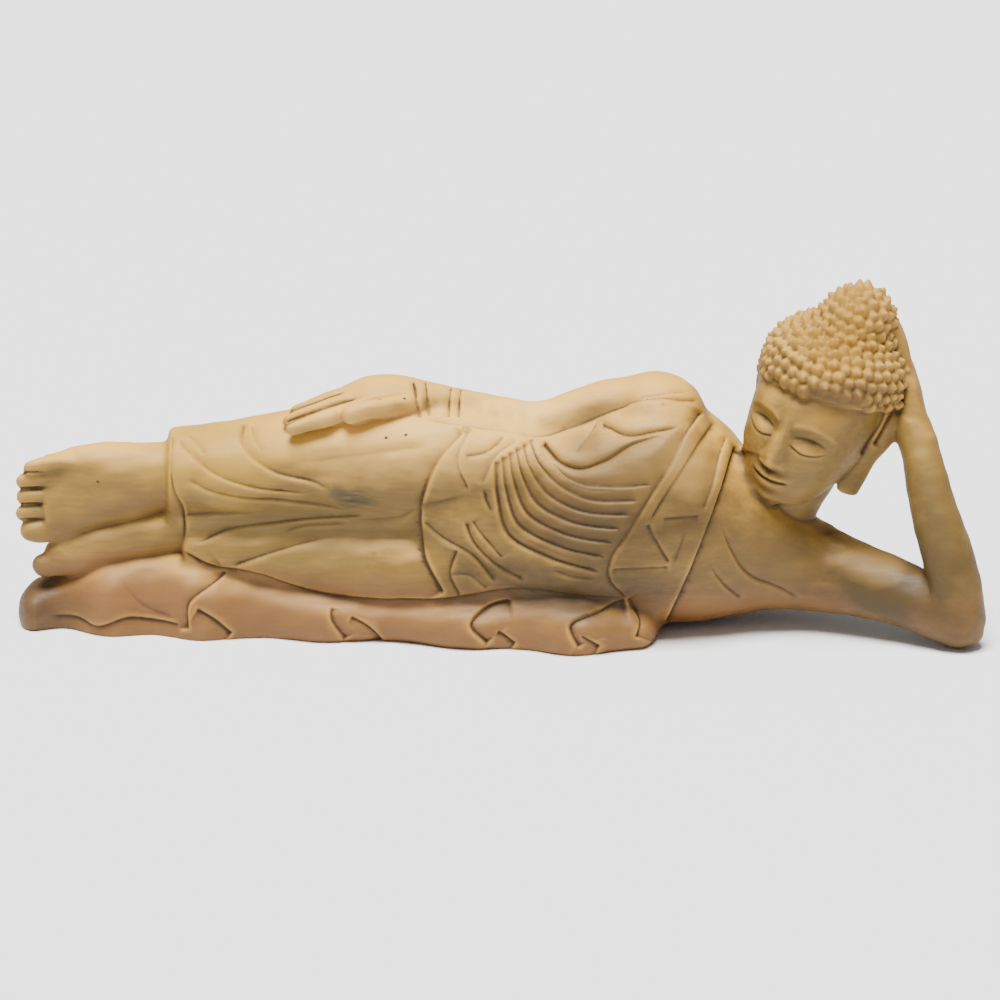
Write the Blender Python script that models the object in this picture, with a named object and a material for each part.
"""A reclining Buddha carved from one log: the figure lies on its left side, props its head on its
left hand and rests its right hand on its thigh, and the robe spills into a low cloth below it.

The figure is drawn in millimetres on a sheet that faces the front, as it is seen from a little above.
Every place on that sheet is (across, up): across from the middle of the figure, up from the floor.
A depth is the distance behind the middle plane of the log, so the front of the figure is at minus.
"""

import math

import bmesh
import bpy
import numpy as np

# Driving dimensions
LENGTH = 0.960  # from the toes to the outside of the elbow, in metres
SHEET_LENGTH = 960.0  # the same length on the drawing sheet, in its millimetres
UNIT = LENGTH / SHEET_LENGTH  # one sheet millimetre, in metres
CLAY_GRAIN = 2.4 * UNIT  # size of the cells that weld the forms into one solid
FACES = {"body": 4750, "hand": 620, "foot": 560, "face": 1150, "hair": 2250}  # triangles of each region
GOUGE = 2.4  # the least softness of a cut's side, in sheet millimetres
FOLD_DEPTH = 1.3  # how deep the folds are cut, as a share of their drawn depth
WOOD_COLOUR = (0.56, 0.40, 0.21, 1.0)
WOOD_ROUGHNESS = 0.62

# The sheet: how it leans, how far off the eye is, and which height it is level with
SHEET_LEAN = math.radians(18.0)
EYE_DISTANCE = 5556.0
EYE_LEVEL = 121.0
LEAN_SIN, LEAN_COS = math.sin(SHEET_LEAN), math.cos(SHEET_LEAN)
SIGHT = np.array([0.0, -LEAN_COS, LEAN_SIN])  # from the figure to the eye


def place(across, up, depth):
    """The point at this depth that is drawn at (across, up) on the sheet."""
    level = up - EYE_LEVEL
    z = (level * (EYE_DISTANCE + depth * LEAN_COS) - (depth * LEAN_SIN - EYE_LEVEL) * EYE_DISTANCE) / (
        LEAN_COS * EYE_DISTANCE + level * LEAN_SIN
    )
    nearer = z * LEAN_SIN - depth * LEAN_COS
    return np.array([across * (EYE_DISTANCE - nearer) / EYE_DISTANCE, depth, z])


def drawn(points):
    """Where points are drawn on the sheet: two arrays, across and up."""
    nearer = points[:, 2] * LEAN_SIN - points[:, 1] * LEAN_COS
    scale = EYE_DISTANCE / (EYE_DISTANCE - nearer)
    height = points[:, 1] * LEAN_SIN + points[:, 2] * LEAN_COS
    return points[:, 0] * scale, EYE_LEVEL + (height - EYE_LEVEL) * scale


def through(rows, count):
    """A smooth curve through the rows, cubic between them, read at evenly spaced places."""
    rows = np.array(rows, float)
    gaps = np.linalg.norm(np.diff(rows[:, :3], axis=0), axis=1)
    knots = np.concatenate([[0.0], np.cumsum(gaps)])
    slopes = np.gradient(rows, knots, axis=0)
    at = np.linspace(0.0, knots[-1], count)
    i = np.clip(np.searchsorted(knots, at, side="right") - 1, 0, len(knots) - 2)
    gap = (knots[i + 1] - knots[i])[:, None]
    s = (at - knots[i])[:, None] / gap
    start = (2 * s**3 - 3 * s**2 + 1) * rows[i] + (s**3 - 2 * s**2 + s) * gap * slopes[i]
    return start + (3 * s**2 - 2 * s**3) * rows[i + 1] + (s**3 - s**2) * gap * slopes[i + 1]


def unit(vectors):
    """The vectors at length one."""
    return vectors / np.linalg.norm(vectors, axis=-1, keepdims=True)


def skin(centres, side_a, side_b, radius_a, radius_b, power=2.0, sides=32, ends=(1.0, 1.0)):
    """A closed form: one ring round each centre, with a round end beyond the first and the last.

    A ring is a superellipse: a cos^(2/p) and b sin^(2/p) along its two sides. An end's rings shrink as
    cos and move on as sin, so that a limb ends in half a ball, or in a flatter end where `ends` is small.
    """
    turn = np.linspace(0.0, 2 * np.pi, sides, endpoint=False)
    bend = 2.0 / power
    wave_a = np.sign(np.cos(turn)) * np.abs(np.cos(turn)) ** bend
    wave_b = np.sign(np.sin(turn)) * np.abs(np.sin(turn)) ** bend
    cap = np.radians([80.0, 60.0, 40.0, 20.0])
    along = unit(np.gradient(centres, axis=0))
    rows = []
    for end, way, angles in ((0, -1.0, cap), (None, 0.0, None), (-1, 1.0, cap[::-1])):
        if end is None:
            rows.append((centres, side_a, side_b, radius_a, radius_b))
            continue
        reach = min(radius_a[end], radius_b[end]) * ends[end]
        moved = centres[end] + way * reach * np.sin(angles)[:, None] * along[end]
        same = np.ones((len(angles), 1))
        rows.append(
            (
                moved,
                same * side_a[end],
                same * side_b[end],
                radius_a[end] * np.cos(angles),
                radius_b[end] * np.cos(angles),
            )
        )
    c, a, b, ra, rb = (np.concatenate(parts) for parts in zip(*rows))
    ring_a = (ra[:, None] * wave_a)[:, :, None] * a[:, None, :]
    ring_b = (rb[:, None] * wave_b)[:, :, None] * b[:, None, :]
    rings = (c[:, None, :] + ring_a + ring_b).reshape(-1, 3)
    tips = [
        centres[0] - along[0] * min(radius_a[0], radius_b[0]) * ends[0],
        centres[-1] + along[-1] * min(radius_a[-1], radius_b[-1]) * ends[1],
    ]
    count = len(c)
    grid = np.arange(count * sides).reshape(count, sides)
    here, there = grid[:-1], grid[1:]
    quads = np.stack([here, np.roll(here, -1, 1), np.roll(there, -1, 1), there], -1).reshape(-1, 4)
    first, last = count * sides, count * sides + 1
    faces = quads.tolist()
    faces += [(first, int(grid[0][(k + 1) % sides]), int(grid[0][k])) for k in range(sides)]
    faces += [(last, int(grid[-1][k]), int(grid[-1][(k + 1) % sides])) for k in range(sides)]
    return np.concatenate([rings, tips]), faces


def limb(rows, wide=(0.0, 1.0, 0.0), power=2.0, steps=28, sides=24, frame=None, ends=(1.0, 1.0)):
    """A tube along a path. A row is across, up, depth, the radius along `wide` and the other radius."""
    put = frame or place
    stations = np.array([[*put(*row[:3]), *row[3:]] for row in rows], float)
    path = through(stations, steps)
    along = unit(np.gradient(path[:, :3], axis=0))
    side_a = np.array(wide, float) - along * (along @ np.array(wide, float))[:, None]
    side_a = unit(side_a)
    return skin(path[:, :3], side_a, np.cross(along, side_a), path[:, 3], path[:, 4], power, sides, ends)


def mass(rows, power=2.0, ends=(1.0, 1.0), steps=48, sides=64):
    """A body mass along the log, with upright rings.

    A row is across, top and bottom as drawn, and the depths of its front and its back. The drawn half
    height h of a ring with half depth b gives its real half height: the root of h^2 - (b sin)^2, over cos.
    """
    stations = []
    for across, top, bottom, front, back in rows:
        middle, half_depth = (front + back) / 2, (back - front) / 2
        half_drawn = (top - bottom) / 2
        half_high = math.sqrt(half_drawn**2 - (half_depth * LEAN_SIN) ** 2) / LEAN_COS
        stations.append([*place(across, (top + bottom) / 2, middle), half_depth, half_high])
    path = through(stations, steps)
    depth_way = np.tile([0.0, 1.0, 0.0], (steps, 1))
    up_way = np.tile([0.0, 0.0, 1.0], (steps, 1))
    return skin(path[:, :3], depth_way, up_way, path[:, 3], path[:, 4], power, sides, ends)


def legs():
    """The two legs under the robe, the right one above the left, and the robe stretched between them."""
    right = [
        (-330, 193, 108, -42, 56),
        (-300, 196, 106, -46, 58),
        (-215, 210, 106, -57, 62),
        (-150, 223, 104, -63, 68),
        (-80, 229, 104, -72, 76),
        (-20, 226, 104, -80, 84),
        (40, 208, 112, -72, 80),
        (80, 190, 118, -50, 60),
    ]
    left = [
        (-314, 110, 48, -38, 52),
        (-250, 113, 38, -46, 56),
        (-170, 116, 16, -58, 66),
        (-80, 118, 8, -72, 78),
        (0, 122, 10, -78, 84),
        (50, 110, 20, -60, 60),
    ]
    front = [(-312, 107, -8, 24, 24), (-200, 108, -20, 24, 24), (-100, 110, -34, 25, 25),
        (-20, 114, -44, 28, 28)]
    rear = [(-312, 118, 22, 25, 24), (-200, 119, 32, 26, 24), (-100, 122, 42, 28, 26),
        (-20, 126, 48, 30, 28)]
    robe = [limb(front, steps=40), limb(rear, steps=40)]
    return [mass(right, 2.2, (0.06, 1.0)), mass(left, 2.3, (0.06, 1.0)), *robe]


def torso():
    """The trunk from the hips to the left shoulder, and the ball of the right shoulder."""
    trunk = [
        (-86, 170, 40, -52, 60),
        (-56, 190, 26, -72, 74),
        (0, 202, 14, -84, 86),
        (60, 206, 4, -92, 92),
        (120, 226, 0, -96, 94),
        (168, 236, 0, -92, 94),
        (190, 229, 1, -88, 92),
        (207, 210, 2, -82, 88),
        (224, 197, 5, -75, 84),
        (242, 177, 9, -66, 80),
        (268, 148, 12, -58, 70),
        (300, 117, 14, -54, 58),
        (322, 100, 17, -48, 40),
    ]
    shoulder = [
        (120, 205, 4, 44, 26),
        (152, 213, 2, 50, 36),
        (174, 209, 4, 50, 33),
        (188, 198, 8, 44, 24),
    ]
    return [mass(trunk, 2.2, (0.5, 1.0)), limb(shoulder, ends=(1.0, 0.5))]


HEM_CRESTS = (-478, -392, -296, -178, -35, 70, 175)  # where the hem swells out, from the feet to the chest
HEM_SWELL = 6.0


def cloth():
    """The cloth that spills out under the figure and carries the feet.

    A row is across, height, depth and the half sizes of its ring. The front swells at each crest and
    draws in between two, by a cosine of how many crests are passed.
    """
    rows = [
        (-456, 15, 6, 38, 26),
        (-438, 17, 9, 39, 31),
        (-400, 19, 4, 46, 47),
        (-350, 20, 1, 50, 57),
        (-318, 20, 0, 54, 58),
        (-270, 20, 2, 60, 46),
        (-170, 18, 2, 67, 31),
        (-100, 18, 1, 78, 28),
        (-20, 18, 0, 89, 33),
        (40, 18, -1, 98, 39),
        (100, 18, -2, 103, 36),
        (134, 16, -2, 96, 28),
    ]
    path = through([[x, y, z, half, high] for x, z, y, half, high in rows], 72)
    depth_way = np.tile([0.0, 1.0, 0.0], (72, 1))
    up_way = np.tile([0.0, 0.0, 1.0], (72, 1))
    points, faces = skin(path[:, :3], depth_way, up_way, path[:, 3], path[:, 4], 2.7, 96)
    passed = np.interp(points[:, 0], HEM_CRESTS, np.arange(len(HEM_CRESTS)))
    front = np.clip(-points[:, 1] / 40.0, 0.0, 1.0)
    points[:, 1] -= HEM_SWELL * np.cos(2 * np.pi * passed) * front
    return [(points, faces)]


def feet():
    """The right foot above, with the back of the foot to the front, and the left foot below it."""
    upright = (0.0, LEAN_SIN, LEAN_COS)
    right = [
        (-290, 148, 6, 30, 30),
        (-330, 147, 2, 32, 31),
        (-370, 141, -1, 38, 29),
        (-400, 138, -3, 41, 24),
        (-432, 131, -8, 41, 14),
        (-453, 130, -10, 37, 10),
    ]
    left = [
        (-290, 96, 4, 26, 28),
        (-350, 89, -2, 24, 27),
        (-390, 79, -5, 23, 25),
        (-425, 69, -8, 23, 20),
        (-440, 64, -9, 20, 16),
    ]
    forms = [limb(right, upright, 2.3, ends=(1.0, 0.6)), limb(left, upright)]
    toes = [
        (157, 152, 446, 473, 9.0),
        (142, 140, 448, 480, 8.4),
        (126, 124, 448, 480, 8.6),
        (110, 108, 446, 480, 8.8),
    ]
    for root, tip, start, end, radius in toes:
        toe = [
            (-start + 22, root, -7, radius * 1.05, radius * 0.9),
            (-start, root, -11, radius, radius * 0.95),
            (-(start + end) / 2, (root + tip) / 2, -13, radius * 0.98, radius * 0.92),
            (-end + radius * 0.5, tip, -13, radius * 0.98, radius),
        ]
        forms.append(limb(toe, upright, steps=12, sides=16))
    big = [(-424, 96, -8, 14, 12), (-444, 93, -13, 13, 11), (-457, 91, -14, 13, 11),
        (-470, 91, -13, 11.5, 10)]
    forms.append(limb(big, upright))
    forms.append(limb([(-430, 62, -10, 14, 12), (-446, 58, -13, 13, 12), (-456, 56, -13, 12, 12)], upright))
    forms.append(limb([(-425, 52, 6, 11, 11), (-440, 46, 8, 10, 10), (-450, 43, 8, 9, 9)], upright))
    return forms


def right_arm():
    """The arm that lies along the body, in its sleeve, and the hand on the thigh."""
    arm = [
        (160, 213, 2, 34, 34),
        (100, 210, 1, 30, 30),
        (70, 203, 0, 27, 26),
        (40, 197, 0, 24, 23),
        (0, 204, -2, 22, 21),
        (-40, 213, -6, 21, 20),
        (-80, 221, -10, 20, 19),
    ]
    palm = [
        (-76, 222, -10, 19, 16),
        (-100, 225, -14, 24, 14),
        (-128, 223, -18, 27, 13),
        (-150, 216, -20, 26, 10),
    ]
    across_hand = (0.0, 0.85, 0.52)
    forms = [limb(arm), limb(palm, across_hand, 2.3)]
    fingers = [
        (-150, 211, -34, -178, 201, -44, -209, 190, -47, 8.6),
        (-150, 220, -20, -182, 210, -29, -212, 199, -32, 8.4),
        (-149, 227, -6, -180, 217, -14, -204, 209, -17, 8.0),
        (-146, 230, 7, -172, 222, 2, -190, 216, 0, 7.4),
    ]
    for a0, u0, d0, a1, u1, d1, a2, u2, d2, radius in fingers:
        rows = [
            (a0 + 22, u0 + 4, d0 + 4, radius, radius),
            (a0, u0, d0, radius, radius),
            (a1, u1, d1, radius, radius),
            (a2, u2, d2, radius * 0.85, radius * 0.85),
        ]
        forms.append(limb(rows, steps=16, sides=16))
    thumb = [
        (-84, 217, -24, 13, 11),
        (-112, 214, -38, 11, 10),
        (-136, 210, -46, 10, 9.5),
        (-149, 206, -49, 9.5, 9.5),
    ]
    forms.append(limb(thumb, steps=16, sides=20))
    return forms


def left_arm():
    """The arm that props the head: along the floor to the elbow, then up to the ear."""
    upper = [
        (288, 62, 0, 50, 46),
        (320, 52, -12, 44, 41),
        (360, 41, -30, 37, 36),
        (400, 28, -48, 33, 33),
        (435, 12, -66, 30, 30),
        (457, -1, -78, 27, 27),
    ]
    elbow = [(452, 10, -78, 26, 26), (462, -1, -79, 22, 19), (470, -10, -80, 16, 14)]
    fore = [
        (459, 4, -78, 27, 27),
        (454, 40, -74, 27, 27),
        (444, 78, -66, 26, 26),
        (434, 111, -56, 24, 24),
        (427, 141, -46, 22, 22),
        (420, 171, -34, 20, 20),
        (412, 195, -22, 20, 19),
    ]
    return [limb(upper, (0.0, 0.3, 1.0)), limb(elbow, steps=14), limb(fore)]


def left_hand():
    """The hand behind the head: the palm by the ear and four fingers up the back of the skull."""
    palm = [
        (412, 194, -22, 20, 18),
        (411, 212, -10, 26, 14),
        (409, 232, 2, 31, 12),
        (404, 252, 12, 31, 11),
    ]
    forms = [limb(palm, (0.0, 1.0, 0.0), 2.3)]
    for k in range(4):
        depth = -10 + 15.5 * k
        reach = (0.0, 8.0, 4.0, -8.0)[k]
        rows = [
            (405, 244, depth, 8, 8),
            (403, 264, depth + 4, 8, 8),
            (395, 288 + reach / 2, depth + 7, 7.6, 7.6),
            (383 - reach / 3, 308 + reach, depth + 8, 6.6, 6.6),
        ]
        forms.append(limb(rows, steps=16, sides=16))
    thumb = [(411, 200, 0, 9, 9), (402, 208, 20, 8.5, 8.5), (390, 214, 36, 8, 8)]
    forms.append(limb(thumb, steps=12, sides=16))
    return forms


# The head's own frame: where it sits, and how it leans, nods and turns on the sheet
HEAD_PLACE = (322.0, 219.0, -4.0)
HEAD_LEAN, HEAD_NOD, HEAD_TURN = (math.radians(a) for a in (20.0, 22.0, 22.0))


def head_axes():
    """The head's right, forward and up, as the sheet shows its right.

    Up leans by the lean and nods towards the eye; right and forward then turn about it.
    """
    sheet = np.array([[1.0, 0.0, 0.0], [0.0, LEAN_SIN, LEAN_COS], SIGHT])
    lean_s, lean_c = math.sin(HEAD_LEAN), math.cos(HEAD_LEAN)
    nod_s, nod_c = math.sin(HEAD_NOD), math.cos(HEAD_NOD)
    turn_s, turn_c = math.sin(HEAD_TURN), math.cos(HEAD_TURN)
    up = np.array([lean_s * nod_c, lean_c * nod_c, nod_s])
    side = np.array([lean_c, -lean_s, 0.0])
    front = np.array([-lean_s * nod_s, -lean_c * nod_s, nod_c])
    right = turn_c * side + turn_s * front
    forward = turn_c * front - turn_s * side
    return right @ sheet, forward @ sheet, up @ sheet


HEAD_RIGHT, HEAD_FORWARD, HEAD_UP = head_axes()
HEAD_CENTRE = place(*HEAD_PLACE)
HAIR_ROWS = (
    (-62, -6, 24, 28),
    (-47, -6, 47, 54),
    (-25, -6, 63, 72),
    (0, -6, 69, 79),
    (18, -6, 69, 79),
    (36, -6, 68, 77),
    (52, -8, 64, 71),
    (65, -10, 55, 60),
    (76, -12, 43, 46),
    (87, -14, 35, 39),
    (98, -14, 31, 34),
    (107, -14, 25, 27),
    (114, -14, 17, 19),
    (118, -14, 9, 10),
)  # the hair from the nape over the knot: level, middle, and its radii to the side and to the front


def on_head(right, forward, up):
    """A point in the head's own frame, put where the head is."""
    return HEAD_CENTRE + right * HEAD_RIGHT + forward * HEAD_FORWARD + up * HEAD_UP


def hair_line(side, forward):
    """Height of the hair's lower edge: level over the brow and the ears, lower at the nape."""
    return 25.0 + 0.16 * side - 0.0021 * side**2 - 0.8 * np.maximum(-45.0 - forward, 0.0)


def head():
    """The face and jaw, the cap of hair, the knot on the crown, the ears and the neck."""
    levels = [
        (-98, 12, 34, 52),
        (-93, 24, 22, 60),
        (-83, 37, 2, 66),
        (-66, 48, -25, 71),
        (-45, 56, -48, 74),
        (-20, 61, -64, 75),
        (6, 62, -72, 76),
        (34, 56, -66, 62),
    ]
    path = through([[0, (b + f) / 2, u, w, (f - b) / 2] for u, w, b, f in levels], 40)
    centres = HEAD_CENTRE + path[:, 1:2] * HEAD_FORWARD + path[:, 2:3] * HEAD_UP
    same = np.ones((40, 1))
    ends = (0.6, 0.5)
    jaw = skin(centres, same * HEAD_RIGHT, same * HEAD_FORWARD, path[:, 3], path[:, 4], 2.25, 48, ends)
    path = through([[0, middle, level, wide, deep] for level, middle, wide, deep in HAIR_ROWS], 96)
    centres = HEAD_CENTRE + path[:, 1:2] * HEAD_FORWARD + path[:, 2:3] * HEAD_UP
    same = np.ones((96, 1))
    cap, cap_faces = skin(
        centres, same * HEAD_RIGHT, same * HEAD_FORWARD, path[:, 3], path[:, 4], 2.0, 96, (0.3, 0.3)
    )
    local = (cap - HEAD_CENTRE) @ np.array([HEAD_RIGHT, HEAD_FORWARD, HEAD_UP]).T
    below = np.clip((hair_line(local[:, 0], local[:, 1]) - local[:, 2]) / 3.0, 0.0, 1.0)
    inward = unit(cap - on_head(0.0, -6.0, -10.0))
    cap = cap - inward * (below * 16.0)[:, None]
    neck = limb(
        [(262, 92, 8, 44, 44), (280, 120, 4, 38, 38), (303, 160, 4, 38, 38), (318, 200, 6, 40, 40)]
    )
    forms = [jaw, (cap, cap_faces), neck]
    for side in (1.0, -1.0):
        ear = [
            (64 * side, -10, 24, 11, 5.5),
            (69 * side, -9, 10, 16, 6),
            (68 * side, -7, -8, 15, 6),
            (63 * side, -5, -28, 12, 6),
            (58 * side, -2, -58, 13, 6.5),
            (57 * side, -1, -71, 12, 6.5),
        ]
        wide = 0.72 * side * HEAD_RIGHT - 0.69 * HEAD_FORWARD
        forms.append(limb(ear, wide, 2.0, 28, 20, on_head, (0.8, 0.6)))
    return forms


CURL_WIDTH = 11.6
CURL_PROFILE = ((6.9, -4.5), (6.8, 0.4), (5.9, 2.4), (4.7, 3.2), (3.9, 4.6), (2.2, 6.6))
CURL_POINT = 7.9
CURL_LEAN = 0.22  # how far a tip leans towards the crown, as a share of its height


def curls():
    """The hair's curls: small stepped cones in staggered rows, from the hair's edge up over the knot.

    Rows are one curl apart along the outline of the hair. The normal of a ring with radii a and b at
    turn t, which grow by a' and b' a level, is (b cos t, a sin t, -(b a' cos^2 t + a b' sin^2 t)).
    """
    level, middle, wide, deep = np.array(HAIR_ROWS, float).T
    path = through(np.stack([0 * level, middle, level, wide, deep], -1), 400)
    steps = np.hypot(np.diff(path[:, 2]), np.diff((path[:, 3] + path[:, 4]) / 2))
    along = np.concatenate([[0.0], np.cumsum(steps)])
    slope_a, slope_b = np.gradient(path[:, 3], path[:, 2]), np.gradient(path[:, 4], path[:, 2])
    forms, number = [], 0
    for row, station in enumerate(np.arange(0.0, along[-1], CURL_WIDTH * 0.88)):
        y, z, a, b, rise_a, rise_b = (np.interp(station, along, v) for v in (*path.T[1:], slope_a, slope_b))
        around = max(1, round(math.pi * (a + b) / CURL_WIDTH))
        for k in range(around):
            number += 1
            waver = [math.sin(number * beat) for beat in (12.9898, 78.233, 37.719)]
            swing = 2 * math.pi * (k + 0.5 * (row % 2) + 0.2 * waver[0]) / around
            local = np.array([a * math.cos(swing), y + b * math.sin(swing), z + 1.7 * waver[1]])
            if local[2] < hair_line(local[0], local[1]) + 3.0:
                continue
            lift = -(b * rise_a * math.cos(swing) ** 2 + a * rise_b * math.sin(swing) ** 2)
            normal = unit(np.array([b * math.cos(swing), a * math.sin(swing), lift]))
            forms.append(curl(local, unit(normal + 0.2 * np.array(waver[::-1])), 1.0 + 0.14 * waver[2]))
    return forms


def curl(local, normal, swell):
    """One curl: the stepped profile turned about its own axis, which leans towards the crown."""
    turn = np.linspace(0.0, 2 * np.pi, 8, endpoint=False)
    side = unit(np.cross(normal, [0.3, 0.2, 1.0]))
    other = np.cross(normal, side)
    around = swell * (np.cos(turn)[:, None] * side + np.sin(turn)[:, None] * other)
    stem = swell * (normal + CURL_LEAN * np.array([0.0, 0.0, 1.0]))
    rings = [local + radius * around + height * stem for radius, height in CURL_PROFILE]
    points = np.concatenate([*rings, [local + CURL_POINT * stem]])
    points = HEAD_CENTRE + points @ np.array([HEAD_RIGHT, HEAD_FORWARD, HEAD_UP])
    sides, levels = len(turn), len(CURL_PROFILE)
    faces = [tuple(range(sides))[::-1]]
    for level in range(levels - 1):
        for k in range(sides):
            a, b = level * sides + k, level * sides + (k + 1) % sides
            faces.append((a, b, b + sides, a + sides))
    top = (levels - 1) * sides
    faces += [(top + k, top + (k + 1) % sides, levels * sides) for k in range(sides)]
    return points, faces


def weld(forms):
    """All the forms as one closed mesh: cells of the clay grain, smoothed until no cell shows."""
    points, faces, start = [], [], 0
    for form_points, form_faces in forms:
        points.append(form_points)
        faces += [tuple(start + int(v) for v in face) for face in form_faces]
        start += len(form_points)
    mesh = bpy.data.meshes.new("reclining_buddha")
    mesh.from_pydata((np.concatenate(points) * UNIT).tolist(), [], faces)
    figure = bpy.data.objects.new("reclining_buddha", mesh)
    bpy.context.scene.collection.objects.link(figure)
    cells = figure.modifiers.new("cells", "REMESH")
    cells.mode = "VOXEL"
    cells.voxel_size = CLAY_GRAIN
    take_modifiers(figure)
    return figure


def soften(figure):
    """Rubs the joins of the broad forms smooth, and the fingers, toes and hair only a little."""
    points = read_points(figure)
    across, up = drawn(points)
    broad = step(across, -326, -306) * step(-across, -268, -240)
    broad *= 1.0 - step(across, -226, -212) * step(-across, 56, 70) * step(up, 184, 196)
    under = step(across, 236, 262) * step(-up, -96, -70) * step(-across, -480, -450)
    fore = step(across, 380, 400) * step(-up, -186, -170) * step(up, 0, 50)
    foot = 0.35 * step(-across, 310, 326) * step(across, -462, -440)
    broad = np.maximum.reduce([broad, under, fore, foot])
    group = figure.vertex_groups.new(name="broad")
    levels = np.round(broad * 8).astype(int)
    for level in range(1, 9):
        chosen = np.nonzero(levels == level)[0]
        group.add(chosen.tolist(), level / 8, "REPLACE")
    rub = figure.modifiers.new("rub", "SMOOTH")
    rub.factor = 0.6
    rub.iterations = 26
    rub.vertex_group = "broad"
    local = (points - HEAD_CENTRE) @ np.array([HEAD_RIGHT, HEAD_FORWARD, HEAD_UP]).T
    bare = local[:, 2] < hair_line(local[:, 0], local[:, 1])
    group = figure.vertex_groups.new(name="bare")
    group.add(np.nonzero(bare)[0].tolist(), 1.0, "REPLACE")
    even = figure.modifiers.new("even", "SMOOTH")
    even.factor = 0.5
    even.iterations = 3
    even.vertex_group = "bare"
    take_modifiers(figure)
    figure.vertex_groups.clear()


def read_points(figure):
    """The object's vertices, in sheet millimetres."""
    flat = np.empty(len(figure.data.vertices) * 3)
    figure.data.vertices.foreach_get("co", flat)
    return flat.reshape(-1, 3) / UNIT


def read_normals(figure):
    """The object's vertex normals."""
    flat = np.empty(len(figure.data.vertices) * 3)
    figure.data.vertices.foreach_get("normal", flat)
    return flat.reshape(-1, 3)


def write_points(figure, points):
    """Puts the vertices where the points are, given in sheet millimetres."""
    figure.data.vertices.foreach_set("co", (points * UNIT).ravel())
    figure.data.update()


def step(values, low, high):
    """0 below low, 1 above high, and a smooth rise between."""
    t = np.clip((values - low) / (high - low), 0.0, 1.0)
    return t * t * (3 - 2 * t)


def between(first, last, count, depth, left, right, fade=(0.12, 0.12)):
    """A family of folds: the first, the last, and the ones evenly between them."""
    first, last = np.array(first, float), np.array(last, float)
    shares = np.linspace(0.0, 1.0, count)
    return [(first + (last - first) * share, depth, left, right, fade) for share in shares]


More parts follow.
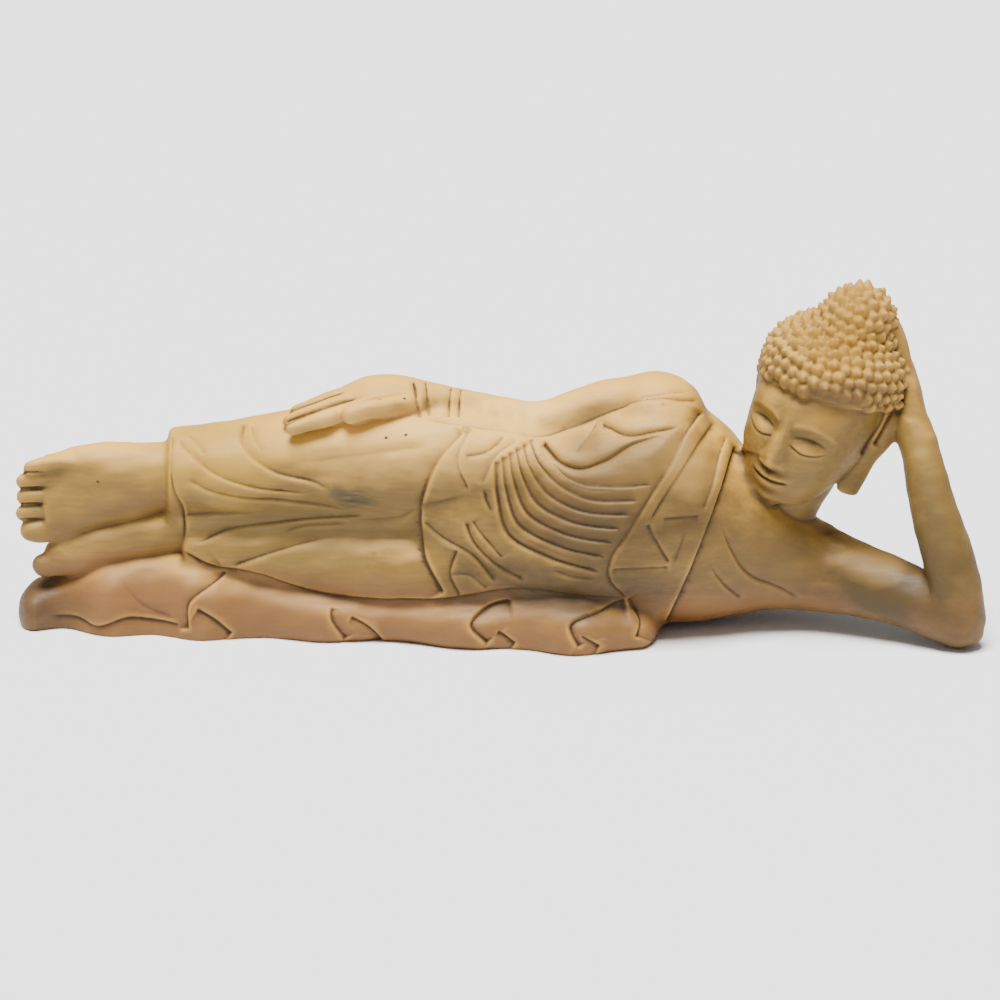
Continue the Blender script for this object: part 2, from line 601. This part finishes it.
def front_folds():
    """Every fold of the front: its path, depth, softness to its left and right, and fade at its ends.

    Left and right are those of someone who walks along the path on the sheet. A fold that is soft on
    one side and sharp on the other is the edge of a layer of cloth.
    """
    short, long, edge = (0.08, 0.08), (0.25, 0.25), (0.02, 0.02)
    # pleats that hang from the gather under the arm and run to the sash
    folds = between(
        ((31, 183), (40, 159), (56, 139), (80, 124), (135, 119)),
        ((-4, 161), (-3, 126), (8, 86), (45, 64), (100, 47)),
        5,
        4.8,
        8.0,
        2.4,
        (0.04, 0.05),
    )
    folds.append((((52, 160), (66, 145), (84, 136), (104, 134), (154, 136)), 4.0, 6.0, 2.0, (0.05, 0.05)))
    folds += between(
        ((-29, 101), (-20, 88), (-10, 76), (3, 61)),
        ((-79, 101), (-60, 84), (-28, 65), (-3, 37)),
        3,
        4.2,
        8.0,
        2.4,
        (0.08, 0.08),
    )
    # the front edge of the upper robe, and the folds beside it
    folds.append((((-37, 191), (-63, 159), (-79, 113), (-76, 65), (-57, 26)), 6.5, 2.0, 14.0, edge))
    folds.append((((-43, 72), (-50, 46), (-40, 24)), 3.4, 2.0, 6.0, (0.1, 0.02)))
    folds.append((((-30, 193), (-43, 160), (-31, 130)), 3.0, 2.0, 6.0, short))
    folds.append((((-36, 165), (-13, 170), (5, 186)), 3.0, 2.0, 6.0, short))
    folds.append((((-18, 136), (-3, 166), (20, 183)), 3.0, 6.0, 2.0, short))
    # the edges of the cloth that crosses the shoulder
    sash = ((204, 210), (186, 187), (172, 158), (150, 123), (126, 83), (110, 59), (109, 41), (126, 22))
    folds.append((sash, 4.2, 2.0, 10.0, edge))
    folds.append((((216, 202), (199, 177), (180, 147), (160, 117), (149, 98)), 3.4, 8.0, 2.0, short))
    folds.append((((149, 98), (151, 89), (158, 77), (170, 57)), 3.4, 2.0, 6.0, short))
    folds.append((((228, 187), (222, 171), (215, 141), (204, 109)), 3.2, 2.0, 7.0, short))
    folds.append((((236, 176), (218, 119), (194, 57), (164, -9)), 5.6, 20.0, 2.0, edge))
    folds.append((((162, 102), (200, 105)), 2.6, 2.0, 6.0, short))
    folds.append((((110, 51), (170, 54)), 2.6, 2.0, 6.0, short))
    # the shoulder and the sleeve
    folds.append((((112, 209), (125, 217), (145, 222), (200, 221)), 3.0, 2.0, 5.0, short))
    folds.append((((100, 199), (110, 195), (122, 189), (132, 187), (150, 190), (190, 197)),
        4.2, 2.0, 7.0, (0.05, 0.3)))
    drape = ((44, 182), (52, 171), (60, 161), (77, 154), (105, 162), (133, 179), (184, 189))
    folds.append((drape, 5.2, 2.0, 8.0, (0.03, 0.3)))
    arm_edge = ((-80, 204), (-40, 197), (0, 192), (40, 186), (70, 194), (100, 206), (140, 222))
    folds.append((arm_edge, 3.6, 3.0, 3.0, short))
    folds.append((((-86, 240), (-83, 223), (-79, 205)), 3.4, 2.0, 2.4, short))
    folds.append((((-41, 233), (-43, 218), (-44, 205)), 2.8, 2.4, 2.4, short))
    # creases of the bare chest
    folds.append((((221, 107), (223, 93), (230, 75), (248, 47), (280, 32), (300, 21)), 3.2, 6.0, 2.4, short))
    # the hollow of the ear
    folds.append((((399, 212), (392, 206), (387, 197), (381, 186), (374, 174)), 4.5, 2.4, 3.0, short))
    # the lower robe: its hem at the ankles, and folds that run together behind the knees
    hem = ((-328, 186), (-331, 160), (-327, 131), (-317, 108), (-316, 88), (-320, 74))
    folds.append((hem, 4.5, 2.0, 3.0, (0.05, 0.2)))
    knee = ((-320, 181), (-308, 167), (-294, 152), (-250, 133), (-210, 128), (-169, 126))
    folds.append((knee, 4.6, 8.0, 2.0, (0.03, 0.4)))
    folds.append((((-314, 189), (-304, 182), (-294, 163)), 3.8, 4.0, 4.0, long))
    thigh = ((-257, 200), (-259, 186), (-250, 166), (-227, 149), (-186, 138), (-163, 127))
    folds.append((thigh, 4.8, 8.0, 2.0, (0.03, 0.25)))
    folds.append((((-250, 202), (-248, 191), (-236, 165)), 3.2, 4.0, 3.0, long))
    folds.append((((-314, 142), (-297, 132), (-280, 126), (-212, 119), (-124, 105)),
        3.8, 7.0, 2.0, (0.05, 0.3)))
    folds.append((((-317, 106), (-285, 107), (-221, 109)), 2.8, 6.0, 2.0, (0.05, 0.4)))
    folds.append((((-308, 75), (-280, 88), (-223, 98), (-148, 104), (-93, 103)), 3.8, 7.0, 2.0, (0.1, 0.3)))
    folds.append((((-270, 53), (-229, 68), (-191, 80), (-163, 84)), 3.6, 7.0, 2.0, (0.1, 0.3)))
    folds.append((((-222, 156), (-148, 165), (-84, 174), (-52, 176)), 3.0, 5.0, 16.0, long))
    folds.append((((-160, 101), (-100, 104), (-79, 113), (-60, 118), (-22, 128)), 4.0, 9.0, 9.0, long))
    # the robe's lower edge, and the cloth below it, which is folded over itself in lobes
    foot = ((-320, 71), (-289, 55), (-250, 48), (-195, 31), (-157, 24), (-60, 21), (24, 31), (72, 25),
        (127, 21))
    folds.append((foot, 4.2, 2.0, 9.0, edge))
    folds.append((((-272, 49), (-295, 32), (-312, 17), (-313, -9)), 4.6, 2.0, 12.0, (0.05, 0.02)))
    folds.append((((-304, 12), (-285, 1), (-268, -13)), 4.2, 2.0, 9.0, (0.06, 0.02)))
    folds.append((((-382, 46), (-358, 17), (-315, -1)), 2.6, 6.0, 6.0, long))
    folds.append((((-450, 5), (-425, 4), (-405, -6), (-370, 3), (-340, 0), (-315, -5)),
        3.8, 2.0, 10.0, short))
    folds.append((((-168, 16), (-169, 6), (-155, -19)), 3.8, 9.0, 2.0, (0.1, 0.02)))
    folds.append((((-150, 5), (-130, -7), (-118, -21)), 3.8, 2.0, 8.0, (0.08, 0.02)))
    folds.append((((14, 21), (-4, 18), (-18, 12), (-29, -4), (-12, -24)), 5.2, 12.0, 2.0, (0.08, 0.02)))
    folds.append((((-2, -10), (6, -16), (15, -23)), 4.2, 2.0, 8.0, (0.08, 0.02)))
    folds.append((((127, 20), (110, 16), (92, 8), (70, -5), (79, -28)), 5.2, 12.0, 2.0, (0.05, 0.02)))
    folds.append((((81, -15), (90, -20), (100, -26)), 4.2, 2.0, 8.0, (0.08, 0.02)))
    folds.append((((127, 21), (141, 1), (137, -17)), 4.4, 8.0, 2.0, (0.03, 0.02)))
    # the cuts between the toes and between the fingers
    folds += between(((-490, 148), (-447, 149)), ((-490, 100), (-449, 102)), 4, 3.2, 2.0, 2.0, (0.01, 0.5))
    folds.append((((-212, 209), (-191, 217), (-165, 226), (-152, 231)), 2.8, 2.0, 2.0, (0.02, 0.3)))
    folds.append((((-214, 199), (-187, 209), (-157, 219), (-132, 225)), 2.8, 2.0, 2.0, (0.02, 0.3)))
    return folds


def back_folds():
    """The plainer folds of the back, on a plain elevation: across, and height from the floor."""
    folds = between(
        ((-318, 150), (-200, 128), (-60, 118)), ((-318, 96), (-200, 92), (-70, 96)),
            3, 3.4, 2.0, 8.0, (0.02, 0.4)
    )
    folds += between(
        ((214, 190), (150, 120), (40, 84), (-60, 82)), ((226, 90), (160, 48), (60, 36), (-40, 44)), 4,
        3.4, 2.0, 9.0, (0.04, 0.3),
    )
    folds.append((((250, 150), (240, 100), (222, 60), (206, 20)), 5.4, 16.0, 2.0, (0.02, 0.02)))
    return folds


def groove(across, up, path, depth, left, right, fade):
    """How far a fold cuts into each place: its depth, less with the distance from its path.

    depth * exp(-distance / softness), where the softness is that of the side the place is on, and the
    depth fades to nothing over the given shares of the path at its two ends.
    """
    line = through([[*p, 0.0] for p in path], 24)[:, :2]
    reach = 4.0 * max(left, right)
    near = np.nonzero(
        (across > line[:, 0].min() - reach)
        & (across < line[:, 0].max() + reach)
        & (up > line[:, 1].min() - reach)
        & (up < line[:, 1].max() + reach)
    )[0]
    here = np.stack([across[near], up[near]], -1)
    a, b = line[:-1], line[1:]
    way = b - a
    length = np.linalg.norm(way, axis=1)
    offset = here[:, None, :] - a[None]
    share = np.clip((offset * way).sum(-1) / length**2, 0.0, 1.0)
    gap = offset - share[..., None] * way
    distance = np.linalg.norm(gap, axis=-1)
    nearest = distance.argmin(1)
    pick = (np.arange(len(near)), nearest)
    turn = way[nearest, 0] * offset[pick][:, 1] - way[nearest, 1] * offset[pick][:, 0]
    softness = np.where(turn > 0, max(left, GOUGE), max(right, GOUGE))
    before = np.concatenate([[0.0], np.cumsum(length)])
    travelled = (before[nearest] + share[pick] * length[nearest]) / before[-1]
    ends = step(travelled, 0.0, fade[0]) * step(1.0 - travelled, 0.0, fade[1])
    cut = np.zeros(len(across))
    cut[near] = depth * ends * (np.exp(-distance[pick] / softness) - 0.018).clip(0.0)
    return cut


def carve(figure):
    """Cuts the folds into the front and the back, each only where the surface faces that way."""
    points, normals = read_points(figure), read_normals(figure)
    cut = np.zeros(len(points))
    across, up = drawn(points)
    facing = step(normals @ SIGHT, 0.02, 0.3)
    for fold in front_folds():
        cut = np.maximum(cut, groove(across, up, *fold) * facing)
    facing = step(normals[:, 1], 0.05, 0.4)
    for fold in back_folds():
        cut = np.maximum(cut, groove(points[:, 0], points[:, 2], *fold) * facing)
    write_points(figure, points - normals * (FOLD_DEPTH * cut)[:, None])


def face_height(right, up):
    """How far the face stands out at a place: the sum of its features, each a soft bump or hollow."""

    def bump(height, at_right, at_up, wide, tall):
        return height * np.exp(-(((np.abs(right) - at_right) / wide) ** 2) - ((up - at_up) / tall) ** 2)

    def line(height, at_up, thick, start, end):
        window = step(np.abs(right), start - 3, start + 3) * step(-np.abs(right), -end - 4, -end + 4)
        return height * np.exp(-(((up - at_up) / thick) ** 2)) * window

    side = np.abs(right)
    bridge = 6.5 + 3.5 * step(-up, 10, 50)
    nose = 12.5 * np.exp(-(np.abs(right / bridge) ** 2.4)) * step(-up, -8, 50) * step(up, -62, -50)
    nose += bump(3.0, 0, -48, 9, 8) + bump(3.6, 11.5, -51, 5, 5)
    eyes = bump(-5.5, 25, -20, 18, 11) + bump(6.0, 26, -25, 16, 7.5)
    eyes += line(-1.6, -31 + 4.5 * ((side - 26) / 16) ** 2, 1.8, 11, 43)
    eyes += line(-1.0, -16 - 4.0 * ((side - 26) / 17) ** 2, 2.0, 12, 42)
    brows = line(2.2, -2 - 9.0 * ((side - 26) / 24) ** 2, 4.2, 8, 48)
    lips = bump(4.6, 0, -66, 18, 4.6) + bump(5.0, 0, -75.5, 14, 5.2)
    lips += line(-2.4, -70.5 + 2.5 * (side / 20) ** 2, 1.9, -4, 19) + bump(-1.8, 0, -83, 13, 4)
    chin = bump(3.0, 0, -91, 15, 9)
    cheeks = bump(2.5, 34, -46, 18, 17)
    return nose + eyes + brows + lips + chin + cheeks


def model_face(figure):
    """Brings the face's features out of the plain front of the head, below the hair's edge."""
    points = read_points(figure)
    local = (points - HEAD_CENTRE) @ np.array([HEAD_RIGHT, HEAD_FORWARD, HEAD_UP]).T
    right, forward, up = local.T
    on_face = step(forward, 8, 34) * step(-np.abs(right), -60, -50) * step(up, -112, -96)
    on_face *= step(hair_line(right, forward) - up, 2.0, 9.0)
    height = face_height(right, up) * on_face
    write_points(figure, points + height[:, None] * HEAD_FORWARD)


def regions(figure):
    """Which vertices are hair, face, hand and foot; the rest is the body."""
    points = read_points(figure)
    across, up = drawn(points)
    local = (points - HEAD_CENTRE) @ np.array([HEAD_RIGHT, HEAD_FORWARD, HEAD_UP]).T
    from_head = np.linalg.norm(local - [0, 0, 5], axis=1)
    hair = (local[:, 2] > hair_line(local[:, 0], local[:, 1]) - 3) & (from_head < 132)
    face = (from_head < 112) & ~hair
    hand = (across > -226) & (across < -70) & (up > 175) & (points[:, 1] < 40)
    foot = across < -332
    return {"hair": hair, "face": face, "hand": hand, "foot": foot, "body": ~(hair | face | hand | foot)}


def thin_out(figure):
    """Thins each region to the faces that it is given, one region at a time."""
    for name, wanted in FACES.items():
        inside = regions(figure)[name]
        corners = [list(p.vertices) for p in figure.data.polygons]
        sizes = np.array([len(c) - 2 for c in corners])
        owned = int(sizes[[bool(inside[c[0]]) for c in corners]].sum())
        group = figure.vertex_groups.new(name="thin")
        group.add(np.nonzero(inside)[0].tolist(), 1.0, "REPLACE")
        fewer = figure.modifiers.new("fewer", "DECIMATE")
        fewer.ratio = (sizes.sum() - owned + wanted) / sizes.sum()
        fewer.use_collapse_triangulate = True
        fewer.vertex_group = "thin"
        fewer.vertex_group_factor = 1000.0
        take_modifiers(figure)
        figure.vertex_groups.clear()


def cut_flat(figure):
    """Saws the underside flat, on the floor plane."""
    log = bmesh.new()
    log.from_mesh(figure.data)
    geometry = log.verts[:] + log.edges[:] + log.faces[:]
    sawn = bmesh.ops.bisect_plane(
        log, geom=geometry, dist=1e-6, plane_co=(0, 0, 0), plane_no=(0, 0, 1), clear_inner=True
    )
    rim = [edge for edge in sawn["geom_cut"] if isinstance(edge, bmesh.types.BMEdge)]
    under = bmesh.ops.triangle_fill(log, edges=rim, use_beauty=True, normal=(0, 0, -1))
    bmesh.ops.recalc_face_normals(log, faces=log.faces[:])
    bmesh.ops.triangulate(log, faces=[face for face in log.faces if len(face.verts) > 3])
    log.to_mesh(figure.data)
    log.free()


def centre(figure):
    """Puts the middle of the underside's outline at the origin."""
    points = read_points(figure)
    low, high = points.min(axis=0), points.max(axis=0)
    write_points(figure, points - [(low[0] + high[0]) / 2, (low[1] + high[1]) / 2, low[2]])


def take_modifiers(figure):
    """Makes the evaluated shape the object's own mesh."""
    shaped = bpy.data.meshes.new_from_object(figure.evaluated_get(bpy.context.evaluated_depsgraph_get()))
    old = figure.data
    figure.modifiers.clear()
    figure.data = shaped
    bpy.data.meshes.remove(old)
    shaped.name = figure.name


def paint(figure):
    """Bare wood."""
    wood = bpy.data.materials.new("carved_wood")
    wood.use_nodes = True
    shader = wood.node_tree.nodes["Principled BSDF"]
    shader.inputs["Base Color"].default_value = WOOD_COLOUR
    shader.inputs["Roughness"].default_value = WOOD_ROUGHNESS
    figure.data.materials.append(wood)


def main():
    for old in list(bpy.data.objects):
        bpy.data.objects.remove(old)
    forms = legs() + torso() + cloth() + feet() + right_arm() + left_arm() + left_hand() + head() + curls()
    figure = weld(forms)
    soften(figure)
    model_face(figure)
    carve(figure)
    thin_out(figure)
    cut_flat(figure)
    centre(figure)
    paint(figure)


main()
